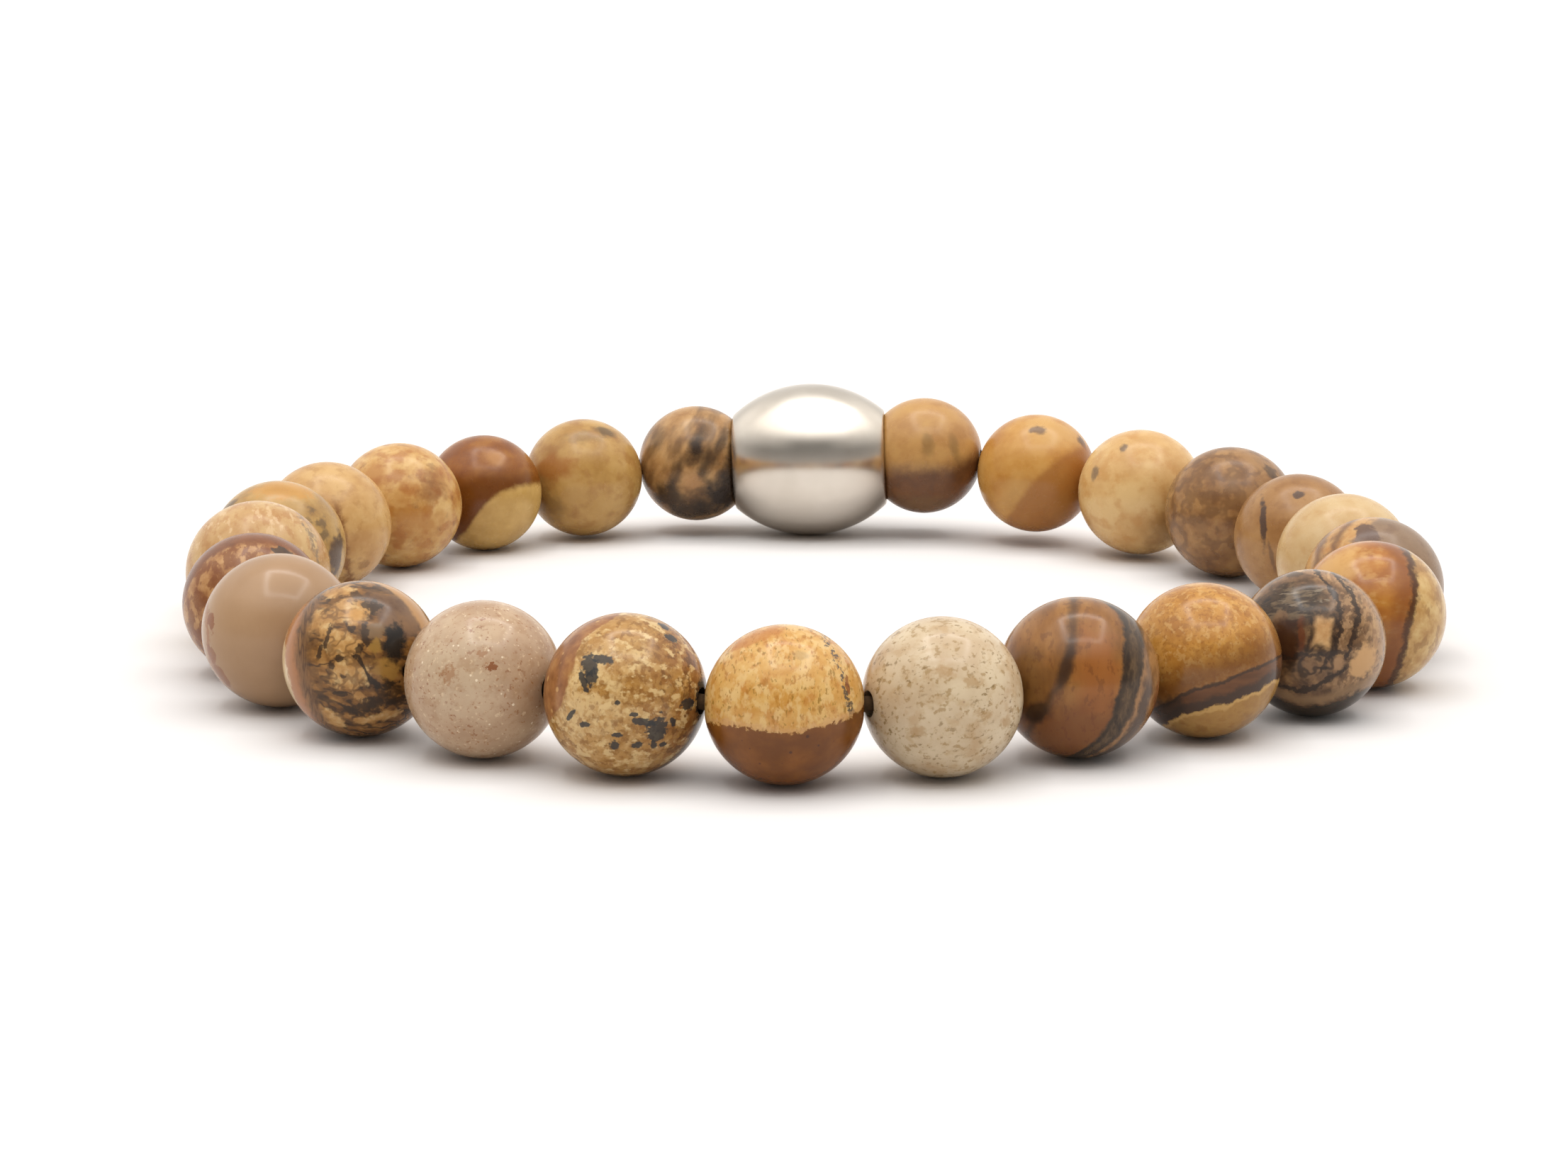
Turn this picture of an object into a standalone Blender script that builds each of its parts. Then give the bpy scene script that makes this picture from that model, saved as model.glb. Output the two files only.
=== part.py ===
"""A stretch bracelet lying flat: round picture jasper beads and one steel barrel bead on a closed elastic cord."""

import math

import bmesh
import bpy
from mathutils import Matrix, Vector

MM = 0.001
UP = Vector((0, 0, 1))

# Round beads
BEAD_RADIUS = 4.0 * MM
BEAD_HOLE_RADIUS = 0.65 * MM
BEAD_GAP = 0.03 * MM
BEAD_SEGMENTS = 16
BEAD_BANDS = 8
BEADS_RIGHT_OF_BARREL = 17
BEADS_LEFT_OF_BARREL = 8

# Ground stone beads are never quite one size. These, by number, are a little off the usual radius
ODD_BEADS = {
    4.20 * MM: (14,),
    4.15 * MM: (15, 24),
    4.10 * MM: (1,),
    4.05 * MM: (7, 10, 21, 23),
    3.95 * MM: (3, 6, 13, 17, 18, 25),
    3.90 * MM: (5, 9),
    3.85 * MM: (20,),
}

# Barrel bead
BARREL_HALF_LENGTH = 5.2 * MM
BARREL_RADIUS = 5.2 * MM
BARREL_END_RADIUS = 3.2 * MM
BARREL_BORE_RADIUS = 2.95 * MM
BARREL_SEGMENTS = 24
BARREL_BANDS = 8
BARREL_TILT = math.radians(2.7)
SEAT_GAP = 0.05 * MM

# Cord and its knot, which lies in the barrel
CORD_RADIUS = 0.4 * MM
CORD_TURN_FROM_CENTRE = 3.2 * MM
KNOT_HALF_LENGTH = 0.7 * MM
KNOT_SHOULDER = 0.6 * MM
KNOT_SWELLING = 2.3

# The line of bead centres is a circle with gentle bends: waves per turn, depth, and the angle of the first crest
RING_BENDS = (
    (2, 0.62 * MM, math.radians(163)),
    (3, 0.54 * MM, math.radians(-5)),
    (4, 0.26 * MM, math.radians(-128)),
    (5, 0.43 * MM, math.radians(-102)),
    (6, 0.31 * MM, math.radians(-140)),
    (7, 0.27 * MM, math.radians(106)),
)
BARREL_ANGLE = math.radians(88.8)
RING_RADIUS_LIMITS = (32.0 * MM, 35.0 * MM)

# How far the beads beyond the barrel's two neighbours hang clear of the table
LIFTS_RIGHT = (0.80 * MM, 0.20 * MM)
LIFTS_LEFT = (0.15 * MM,)

JASPER_TONES = {
    "jasper_taupe": (0.50, 0.38, 0.28),
    "jasper_cream": (0.62, 0.46, 0.28),
    "jasper_golden": (0.56, 0.33, 0.13),
    "jasper_caramel": (0.36, 0.19, 0.08),
    "jasper_mauve": (0.26, 0.17, 0.11),
}
BEAD_TONES = (
    "jasper_taupe", "jasper_mauve", "jasper_taupe", "jasper_cream", "jasper_golden",
    "jasper_cream", "jasper_caramel", "jasper_golden", "jasper_mauve", "jasper_caramel",
    "jasper_mauve", "jasper_cream", "jasper_golden", "jasper_mauve", "jasper_golden",
    "jasper_caramel", "jasper_caramel", "jasper_caramel", "jasper_golden", "jasper_caramel",
    "jasper_golden", "jasper_cream", "jasper_golden", "jasper_cream", "jasper_caramel",
)


def bisect(function, low, high):
    """The place between low and high where function changes sign."""
    low_is_negative = function(low) < 0
    for _ in range(60):
        middle = (low + high) / 2
        if (function(middle) < 0) == low_is_negative:
            low = middle
        else:
            high = middle
    return (low + high) / 2


def ring_point(angle, mean_radius):
    radius = mean_radius
    for waves, depth, crest in RING_BENDS:
        radius += depth * math.cos(waves * angle - crest)
    return Vector((radius * math.cos(angle), radius * math.sin(angle), 0))


def barrel_outline():
    """The barrel's outer arc as (along, radius) pairs."""
    bulge = BARREL_RADIUS - BARREL_END_RADIUS
    arc_radius = (BARREL_HALF_LENGTH**2 + bulge**2) / (2 * bulge)
    points = []
    for step in range(BARREL_BANDS + 1):
        along = BARREL_HALF_LENGTH * (2 * step / BARREL_BANDS - 1)
        drop = arc_radius - math.sqrt(arc_radius**2 - along**2)
        points.append((along, BARREL_RADIUS - drop))
    return points


def barrel_height():
    """The height of the tilted barrel's centre when it rests on the table."""
    rise = math.sin(BARREL_TILT)
    level = math.cos(BARREL_TILT)
    return max(radius * level - along * rise for along, radius in barrel_outline())


def seat_distance(bead_radius):
    """From the barrel's centre to a neighbour whose nose just clears the rim of the bore."""
    nose_depth = math.sqrt(bead_radius**2 - BARREL_BORE_RADIUS**2)
    return BARREL_HALF_LENGTH + nose_depth + SEAT_GAP


def stringing_number(place):
    """The bead's number: 1 to 17 lie right of the barrel, 18 to 25 left of it."""
    if place < BEADS_RIGHT_OF_BARREL:
        return BEADS_RIGHT_OF_BARREL - place
    return 2 * BEADS_RIGHT_OF_BARREL + BEADS_LEFT_OF_BARREL - place


def bead_radii():
    """Radii of the beads, from the barrel's right neighbour round to its left one."""
    odd = {number: radius for radius, numbers in ODD_BEADS.items() for number in numbers}
    count = BEADS_RIGHT_OF_BARREL + BEADS_LEFT_OF_BARREL
    return [odd.get(stringing_number(place), BEAD_RADIUS) for place in range(count)]


def bead_heights(radii):
    """Heights of the bead centres, in the same order."""
    heights = list(radii)
    heights[0] = barrel_height() + seat_distance(radii[0]) * math.sin(BARREL_TILT)
    heights[-1] = barrel_height() - seat_distance(radii[-1]) * math.sin(BARREL_TILT)
    for place, lift in enumerate(LIFTS_RIGHT, start=1):
        heights[place] += lift
    for place, lift in enumerate(LIFTS_LEFT, start=2):
        heights[-place] += lift
    return heights


def string_beads(mean_radius, radii):
    """Walk round the ring bead by bead. Gives the centres, and the angle left over at the barrel's left neighbour."""
    heights = bead_heights(radii)
    seat_span = (seat_distance(radii[0]) + seat_distance(radii[-1])) * math.cos(BARREL_TILT)

    def too_wide(half_angle):
        right = ring_point(BARREL_ANGLE - half_angle, mean_radius)
        left = ring_point(BARREL_ANGLE + half_angle, mean_radius)
        return (right - left).length - seat_span

    half_angle = bisect(too_wide, 0.1, 0.6)
    angle = BARREL_ANGLE - half_angle
    centres = [ring_point(angle, mean_radius)]
    for place in range(1, len(radii)):
        pitch = radii[place - 1] + radii[place] + BEAD_GAP
        reach = math.sqrt(pitch**2 - (heights[place] - heights[place - 1]) ** 2)
        last = centres[-1]
        angle = bisect(lambda a: (ring_point(a, mean_radius) - last).length - reach, angle - 0.45, angle)
        centres.append(ring_point(angle, mean_radius))
    for centre, height in zip(centres, heights):
        centre.z = height
    left_over = angle - (BARREL_ANGLE + half_angle - 2 * math.pi)
    return centres, left_over


def closed_ring(radii):
    """The bead centres and the barrel's centre, on the ring whose size closes it, about the middle of the object."""
    mean_radius = bisect(lambda radius: string_beads(radius, radii)[1], *RING_RADIUS_LIMITS)
    centres = string_beads(mean_radius, radii)[0]
    to_right = seat_distance(radii[0])
    to_left = seat_distance(radii[-1])
    barrel = centres[0].lerp(centres[-1], to_right / (to_right + to_left))
    reaches = [*zip(centres, radii), (barrel, BARREL_RADIUS)]
    low = Vector([min(centre[i] - reach for centre, reach in reaches) for i in (0, 1)])
    high = Vector([max(centre[i] + reach for centre, reach in reaches) for i in (0, 1)])
    middle = ((low + high) / 2).to_3d()
    return [centre - middle for centre in centres], barrel - middle


def frame_along(axis, centre):
    """A placing whose local X runs along the axis and whose local Z points up."""
    x_axis = axis.normalized()
    z_axis = (UP - UP.dot(x_axis) * x_axis).normalized()
    y_axis = z_axis.cross(x_axis)
    return Matrix.Translation(centre) @ Matrix((x_axis, y_axis, z_axis)).transposed().to_4x4()


def material(name, colour, roughness, metallic=0.0):
    made = bpy.data.materials.new(name)
    made.use_nodes = True
    made.diffuse_color = (*colour, 1)
    shader = made.node_tree.nodes["Principled BSDF"]
    shader.inputs["Base Color"].default_value = (*colour, 1)
    shader.inputs["Roughness"].default_value = roughness
    shader.inputs["Metallic"].default_value = metallic
    return made


def turned_mesh(name, profile, segments, finish):
    """A solid turned about local X from a closed profile of (along, radius) points, with one row at the bottom."""
    shape = bmesh.new()
    rows = []
    for turn in range(segments):
        angle = 2 * math.pi * turn / segments - math.pi / 2
        rows.append([shape.verts.new((x, r * math.cos(angle), r * math.sin(angle))) for x, r in profile])
    for row, next_row in zip(rows, rows[1:] + rows[:1]):
        for corner in range(len(profile)):
            before = corner - 1
            shape.faces.new((row[before], row[corner], next_row[corner], next_row[before]))
    bmesh.ops.recalc_face_normals(shape, faces=shape.faces)
    mesh = bpy.data.meshes.new(name)
    shape.to_mesh(mesh)
    shape.free()
    mesh.materials.append(finish)
    mesh.shade_smooth()
    mesh.set_sharp_from_angle(angle=math.radians(40))
    return mesh


def place(name, data, placing):
    piece = bpy.data.objects.new(name, data)
    piece.matrix_world = placing
    bpy.context.scene.collection.objects.link(piece)
    return piece


def bead_mesh(name, radius, finish):
    """A round bead with a straight drill hole along local X."""
    mouth = math.asin(BEAD_HOLE_RADIUS / radius)
    profile = []
    for band in range(BEAD_BANDS + 1):
        angle = mouth + (math.pi - 2 * mouth) * band / BEAD_BANDS
        profile.append((radius * math.cos(angle), radius * math.sin(angle)))
    return turned_mesh(name, profile, BEAD_SEGMENTS, finish)


def add_beads(centres, axes, radii):
    finishes = {tone: material(tone, colour, roughness=0.18) for tone, colour in JASPER_TONES.items()}
    for place_in_line, (centre, axis, radius) in enumerate(zip(centres, axes, radii)):
        number = stringing_number(place_in_line)
        name = f"jasper_bead_{number:02d}"
        finish = finishes[BEAD_TONES[number - 1]]
        place(name, bead_mesh(name, radius, finish), frame_along(axis, centre))


def add_barrel(centre, axis):
    """The barrel bead, bored right through, with a thin flat rim at each end."""
    bore = [(BARREL_HALF_LENGTH, BARREL_BORE_RADIUS), (-BARREL_HALF_LENGTH, BARREL_BORE_RADIUS)]
    finish = material("stainless_steel", (0.62, 0.60, 0.57), roughness=0.15, metallic=1.0)
    mesh = turned_mesh("steel_barrel_bead", barrel_outline() + bore, BARREL_SEGMENTS, finish)
    place("steel_barrel_bead", mesh, frame_along(axis, centre))


def cord_route(centres, axes, barrel, barrel_axis):
    """Points along the cord with their swelling: straight through each hole, and knotted in the barrel."""
    route = []
    for centre, axis in zip(centres, axes):
        route.append((centre - CORD_TURN_FROM_CENTRE * axis, 1.0))
        route.append((centre + CORD_TURN_FROM_CENTRE * axis, 1.0))
    shoulder = KNOT_HALF_LENGTH + KNOT_SHOULDER
    for along, swelling in (
        (-shoulder, 1.0),
        (-KNOT_HALF_LENGTH, KNOT_SWELLING),
        (KNOT_HALF_LENGTH, KNOT_SWELLING),
        (shoulder, 1.0),
    ):
        route.append((barrel + along * barrel_axis, swelling))
    return route


def add_cord(route):
    curve = bpy.data.curves.new("elastic_cord", "CURVE")
    curve.dimensions = "3D"
    curve.bevel_depth = CORD_RADIUS
    curve.bevel_resolution = 2
    spline = curve.splines.new("POLY")
    spline.points.add(len(route) - 1)
    for point, (position, swelling) in zip(spline.points, route):
        point.co = (*position, 1)
        point.radius = swelling
    spline.use_cyclic_u = True
    spline.use_smooth = True
    curve.materials.append(material("elastic", (0.02, 0.018, 0.016), roughness=0.6))
    place("elastic_cord", curve, Matrix.Identity(4))


def build():
    for old in list(bpy.data.objects):
        bpy.data.objects.remove(old)
    radii = bead_radii()
    centres, barrel = closed_ring(radii)
    line = [barrel, *centres, barrel]
    axes = [(after - before).normalized() for before, after in zip(line, line[2:])]
    barrel_axis = (centres[0] - centres[-1]).normalized()
    add_beads(centres, axes, radii)
    add_barrel(barrel, barrel_axis)
    add_cord(cord_route(centres, axes, barrel, barrel_axis))


build()
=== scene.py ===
"""The looks of the picture jasper bracelet: polished stone beads, a steel barrel bead and the cord."""

import math

import bmesh
import bpy
from mathutils import Matrix, Vector


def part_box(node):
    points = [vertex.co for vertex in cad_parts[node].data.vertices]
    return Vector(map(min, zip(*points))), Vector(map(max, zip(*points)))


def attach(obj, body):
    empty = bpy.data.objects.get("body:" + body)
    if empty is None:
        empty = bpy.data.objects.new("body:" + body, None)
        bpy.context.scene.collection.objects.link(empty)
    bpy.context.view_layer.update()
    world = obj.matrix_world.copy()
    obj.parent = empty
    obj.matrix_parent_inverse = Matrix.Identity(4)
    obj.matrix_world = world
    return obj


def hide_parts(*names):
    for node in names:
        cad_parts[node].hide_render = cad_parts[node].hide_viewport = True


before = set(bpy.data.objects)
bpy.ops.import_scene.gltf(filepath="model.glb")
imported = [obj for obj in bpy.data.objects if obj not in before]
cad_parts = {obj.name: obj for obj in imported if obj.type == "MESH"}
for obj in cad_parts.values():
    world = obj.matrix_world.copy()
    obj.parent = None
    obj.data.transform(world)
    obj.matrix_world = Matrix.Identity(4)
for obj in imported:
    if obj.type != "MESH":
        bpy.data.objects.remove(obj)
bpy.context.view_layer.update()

MM = 0.001

# The photograph's viewpoint, with the lens and its film in millimetres
CAMERA_PLACE = Vector((-1.57, -184.51, 39.94)) * MM
CAMERA_DOWN = math.radians(11.39)
CAMERA_ROLL = math.radians(0.27)
LENS = 73.27
SENSOR_WIDTH = 36

# Bead shape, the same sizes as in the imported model
BEAD_COUNT = 25
BEADS_BEFORE_BARREL = 17
BEAD_HOLE_RADIUS = 0.65 * MM
BEAD_MOUTH = 0.03 * MM
BEAD_SEGMENTS = 80
BEAD_BANDS = 48
CORNER_STEPS = 4

# How rough the polish is, at its best and its worst: the beads at the front are the glossier ones
FRONT_BEADS = range(1, 11)
FRONT_POLISH = (0.16, 0.22)
REAR_POLISH = (0.22, 0.3)

# Barrel shape
BARREL = "steel_barrel_bead"
BARREL_HALF_LENGTH = 5.2 * MM
BARREL_RADIUS = 5.2 * MM
BARREL_END_RADIUS = 3.2 * MM
BARREL_BORE_RADIUS = 2.95 * MM
BARREL_RIM = 0.12 * MM
BARREL_SEGMENTS = 128
BARREL_BANDS = 40

# Cord
CORD = "elastic_cord"
CORD_RADIUS = 0.4 * MM
CORD_TURN_FROM_CENTRE = 3.2 * MM
KNOT_HALF_LENGTH = 0.7 * MM
KNOT_SHOULDER = 0.6 * MM
KNOT_SWELLING = 2.3

# Lamps: four strips that frame a square, each with its side (right, back), turn and share of the radiance
LAMP_HEIGHT = 0.5
LAMP_MIDDLE = Vector((0.055, -0.03))
LAMP_HALF_WIDTH = 0.2
LAMP_STRIP = 0.045
LAMP_RADIANCE = 5.2
LAMPS = (
    ("front", (0, -1), 0, 0.9), ("back", (0, 1), 0, 1.2),
    ("left", (-1, 0), 90, 1.1), ("right", (1, 0), 90, 0.9),
)

# The white tent around them
TENT_COLOUR = (1, 0.972, 0.935, 1)
CEILING_RADIANCE = 2.1
BACK_WALL_RADIANCE = 0.9
FRONT_WALL_RADIANCE = 0.22
HORIZON_RADIANCE = 0.28
SIDE_GLOW_RADIANCE = 0.5
CEILING_RISE_AT_BACK = 0.2

# Where the tent's light changes, in a direction of length 1: the middle of the change and half its width
CEILING_CHANGE = (0.7, 0.15)
CEILING_RISE_CHANGE = (0.25, 0.2)
WALL_CHANGE = (0, 0.6)
HORIZON_CHANGE = (0.2, 0.25)
SIDE_GLOW_SIDEWAYS = (0.45, 0.25)
SIDE_GLOW_UPWARDS = (0.45, 0.15)

# The paper underneath, whose colour changes with the distance from the bracelet: lighter far off as painted
# light, where less of the lamps' light comes, and a touch darker and warmer near the bracelet as painted
# shade
FLOOR_HALF_WIDTH = 3
PAPER_NEAR_PAINTED_SHADE = (0.715, 0.703, 0.702, 1)
PAPER_FAR_PAINTED_LIGHT = (0.82, 0.83, 0.85, 1)
PAPER_CHANGE = (0.6, 0.4)

# Stone colours, as red, green and blue from 0 to 255, and the share of each that all of them keep
STONE_TONE = (0.81, 0.77, 0.69)
IVORY = (228, 205, 168)
GOLD = (212, 154, 74)
HONEY = (190, 120, 50)
OCHRE = (160, 102, 40)
ASH = (142, 122, 102)
CARAMEL = (158, 100, 52)
RUST = (140, 80, 42)
CHESTNUT = (108, 62, 32)
UMBER = (76, 46, 30)
BARK = (66, 46, 34)
SLATE = (80, 72, 70)


def linear(colour, tone):
    """The shader's value of a colour given from 0 to 255, with each of its parts scaled by the tone."""
    parts = []
    for part, share in zip(colour, tone):
        part /= 255
        part = part / 12.92 if part <= 0.04045 else ((part + 0.055) / 1.055) ** 2.4
        parts.append(part * share)
    return (*parts, 1)


class Nodes:
    """The node tree of a material or world, started afresh."""

    def __init__(self, owner):
        owner.use_nodes = True
        self.nodes = owner.node_tree.nodes
        self.links = owner.node_tree.links
        self.nodes.clear()

    def add(self, kind, inputs=(), **settings):
        """Adds a shader node and gives its outputs. Each input is a value or another node's output."""
        node = self.nodes.new("ShaderNode" + kind)
        for name, value in settings.items():
            setattr(node, name, value)
        for name, value in dict(inputs).items():
            if isinstance(value, bpy.types.NodeSocket):
                self.links.new(value, node.inputs[name])
            else:
                node.inputs[name].default_value = value
        return node.outputs

    def maths(self, operation, first, second=0, third=0):
        return self.add("Math", {0: first, 1: second, 2: third}, operation=operation)[0]

    def scale(self, value, start, end, low, high, **settings):
        """The value taken from one range to another."""
        inputs = {"Value": value, "From Min": start, "From Max": end, "To Min": low, "To Max": high}
        return self.add("MapRange", inputs, **settings)[0]

    def step(self, value, level, soft, low=0, high=1):
        """One value below the level and another above it, with a soft edge."""
        return self.scale(value, level - soft, level + soft, low, high, interpolation_type="SMOOTHSTEP")

    def mix(self, mask, under, over):
        """The colour below where the mask is 0, and the one above where it is 1."""
        return self.add("Mix", {0: mask, 6: under, 7: over}, data_type="RGBA")[2]

    def both(self, first, second):
        return self.maths("MULTIPLY", first, second)

    def outside(self, mask):
        return self.maths("SUBTRACT", 1, mask)


class Pattern(Nodes):
    """A material under construction: nodes that give masks, and a colour painted over layer by layer."""

    # A line's points are at most this far from the middle, in bead radii
    LINE_SPAN = 1.25

    # How far apart two seeds take their textures, and the share of it between two textures of a seed
    SEED_SHIFT = Vector((3.1, 5.7, 7.3))
    TEXTURE_SHARE = 0.37

    # Nearly all noise lies from low to high. The gain brings its reach around the middle to about one
    NOISE_LOW = 0.3
    NOISE_MIDDLE = 0.5
    NOISE_HIGH = 0.7
    NOISE_GAIN = 4

    VEIN_SOFTNESS = 0.6
    SHARP = 0.01
    WAVE_SIZE = 0.5

    def __init__(self, name, unit, turn, seed, tone=(1, 1, 1)):
        self.material = bpy.data.materials.new(name)
        super().__init__(self.material)
        self.seed = seed
        self.tone = tone
        self.textures = 0
        place = self.add("TexCoord")["Object"]
        inputs = {"Vector": place, "Rotation": turn.to_euler(), "Scale": (unit, unit, unit)}
        self.point = self.add("Mapping", inputs, vector_type="TEXTURE")[0]
        axes = self.add("SeparateXYZ", {0: self.point})
        self.right = axes[0]
        self.up = axes[1]
        self.colour = None

    def stretched(self, size, turn=0, middle=None):
        """The point in cells of that size: one number, or a width and a height turned in the picture."""
        width, height = size if isinstance(size, tuple) else (size, size)
        if middle is None:
            self.textures += 1
            middle = self.SEED_SHIFT * (self.seed + self.TEXTURE_SHARE * self.textures)
        inputs = {
            "Vector": self.point, "Location": middle,
            "Rotation": (0, 0, math.radians(turn)), "Scale": (width, height, max(width, height)),
        }
        return self.add("Mapping", inputs, vector_type="TEXTURE")[0]

    def noise(self, size, turn=0, detail=3, rough=0.55):
        inputs = {"Vector": self.stretched(size, turn), "Scale": 1, "Detail": detail, "Roughness": rough}
        return self.add("TexNoise", inputs)[0]

    def blend(self, *colours, size, turn=0, detail=4, spread=0.14):
        """A colour that drifts between the given ones."""
        noise = self.noise(size, turn, detail)
        return self.ramp(noise, colours, self.NOISE_MIDDLE - spread, self.NOISE_MIDDLE + spread)

    def ramp(self, value, colours, low, high):
        """The colours in turn, evenly spaced from the low value to the high one."""
        node = self.nodes.new("ShaderNodeValToRGB")
        self.links.new(value, node.inputs[0])
        stops = node.color_ramp.elements
        while len(stops) < len(colours):
            stops.new(0.5)
        for number, colour in enumerate(colours):
            stops[number].position = low + (high - low) * number / (len(colours) - 1)
            stops[number].color = linear(colour, self.tone)
        return node.outputs[0]

    def base(self, *colours, **shape):
        """Lays the first layer: a colour that drifts between the given ones."""
        self.colour = self.blend(*colours, **shape)

    def paint(self, colour, mask, strength=1):
        """Lays a colour, or another node's colour, over what is there, where the mask is 1."""
        if isinstance(colour, tuple):
            colour = linear(colour, self.tone)
        if strength < 1:
            mask = self.both(mask, strength)
        self.colour = self.mix(mask, self.colour, colour)

    def clouds(self, size, level, soft=0.03, turn=0, detail=4):
        """Patches where the noise is above the level: 0.5 is half of the surface, 0.65 a tenth."""
        return self.step(self.noise(size, turn, detail), level, soft)

    def veins(self, size, width, turn=0, detail=3):
        """Thin winding lines."""
        centred = self.maths("SUBTRACT", self.noise(size, turn, detail), self.NOISE_MIDDLE)
        return self.outside(self.step(self.maths("ABSOLUTE", centred), width, width * self.VEIN_SOFTNESS))

    def specks(self, spacing, size, share=0.5, soft=0.3):
        """Dots about that far apart, in that share of the places, of up to that radius."""
        cells = self.add("TexVoronoi", {"Vector": self.stretched(spacing), "Scale": 1})
        chance = self.add("SeparateColor", {0: cells["Color"]})
        reach = self.maths("MULTIPLY", chance[1], size / spacing)
        inside = self.step(self.maths("SUBTRACT", reach, cells["Distance"]), 0, soft * size / spacing)
        return self.both(inside, self.step(chance[0], 1 - share, self.SHARP))

    def blotch(self, right, up, width, height, turn=0, ragged=0.5, grain=0.12, soft=0.12, square=False):
        """A ragged patch with that middle, half width and half height, round or square."""
        depth = math.sqrt(max(0, 1 - right**2 - up**2))
        spot = self.stretched((width, height), turn, (right, up, depth))
        if square:
            sides = self.add("SeparateXYZ", {0: self.add("VectorMath", {0: spot}, operation="ABSOLUTE")[0]})
            reach = self.maths("MAXIMUM", self.maths("MAXIMUM", sides[0], sides[1]), sides[2])
        else:
            reach = self.add("VectorMath", {0: spot}, operation="LENGTH")["Value"]
        fray = self.maths("SUBTRACT", self.noise(grain, detail=3), self.NOISE_MIDDLE)
        frayed = self.maths("MULTIPLY_ADD", fray, self.NOISE_GAIN * ragged, reach)
        return self.outside(self.step(frayed, 1, soft))

    def line(self, points, upright=True, wobble=0.03, grain=0.15):
        """How far the surface lies right of an upright line through the points, or above a level one."""
        node = self.nodes.new("ShaderNodeFloatCurve")
        along, across = (self.up, self.right) if upright else (self.right, self.up)
        spots = sorted((up, right) if upright else (right, up) for right, up in points)
        curve = node.mapping.curves[0]
        while len(curve.points) < len(spots):
            curve.points.new(0.5, 0.5)
        for spot, (start, value) in zip(curve.points, spots):
            spot.location = (0.5 + start / self.LINE_SPAN / 2, 0.5 + value / self.LINE_SPAN / 2)
        node.mapping.update()
        self.links.new(self.maths("MULTIPLY_ADD", along, 0.5 / self.LINE_SPAN, 0.5), node.inputs["Value"])
        there = self.maths("MULTIPLY_ADD", node.outputs[0], 2 * self.LINE_SPAN, -self.LINE_SPAN)
        fray = self.maths("SUBTRACT", self.noise(grain, detail=4, rough=0.65), self.NOISE_MIDDLE)
        gain = self.NOISE_GAIN * wobble
        return self.maths("MULTIPLY_ADD", fray, gain, self.maths("SUBTRACT", across, there))

    def beyond(self, line, start=0, soft=0.02):
        return self.step(line, start, soft)

    def before(self, line, start=0, soft=0.02):
        return self.outside(self.beyond(line, start, soft))

    def between(self, line, start, end, soft=0.015):
        return self.both(self.beyond(line, start, soft), self.before(line, end, soft))

    def mottle(self, colour, size, level, strength=1, **shape):
        """Paints clouds."""
        self.paint(colour, self.clouds(size, level, **shape), strength)

    def dab(self, colour, *place, strength=1, **shape):
        """Paints one blotch."""
        self.paint(colour, self.blotch(*place, **shape), strength)

    def stripe(self, colour, line, start, end, soft=0.015, strength=1):
        """Paints what lies between two distances from a line."""
        self.paint(colour, self.between(line, start, end, soft), strength)

    def finish(self, rough, rough_size=0.2, bump=0.02, metallic=0, ior=1.4):
        """Joins the colour to a shader with uneven gloss and a slightly uneven surface."""
        gloss = self.noise(rough_size, detail=5)
        roughness = self.scale(gloss, self.NOISE_LOW, self.NOISE_HIGH, *rough)
        waves = self.noise(self.WAVE_SIZE, detail=2)
        normal = self.add("Bump", {"Height": waves, "Strength": 1, "Distance": bump * MM})[0]
        inputs = {"Base Color": self.colour, "Roughness": roughness, "Normal": normal}
        shader = self.add("BsdfPrincipled", {**inputs, "Metallic": metallic, "IOR": ior})[0]
        self.add("OutputMaterial", {"Surface": shader})
        return self.material


# Each bead's markings. Places and sizes are in bead radii, to the right and up as the photograph shows the
# bead, and turns are in degrees. Each layer covers the ones before it.


def plain_taupe(stone):
    stone.base((172, 139, 109), (178, 145, 114), (184, 151, 120), size=1, spread=0.2)
    stone.mottle(CARAMEL, (0.03, 0.4), 0.68, soft=0.1, strength=0.08)
    points = [(-0.93, 0.37), (-0.91, 0.1), (-0.9, -0.2), (-0.86, -0.4), (-0.76, -0.6), (-0.6, -0.85)]
    edge = stone.line(points)
    stone.stripe(CARAMEL, edge, -0.03, 0.02, strength=0.7)
    stone.dab(RUST, -0.87, 0.12, 0.05, 0.14, turn=10, strength=0.8)
    for spot in ((-0.86, -0.32, 0.06, 0.13, 12), (-0.73, -0.58, 0.05, 0.2, 35)):
        stone.dab(RUST, *spot, ragged=0.3, strength=0.7)


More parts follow.
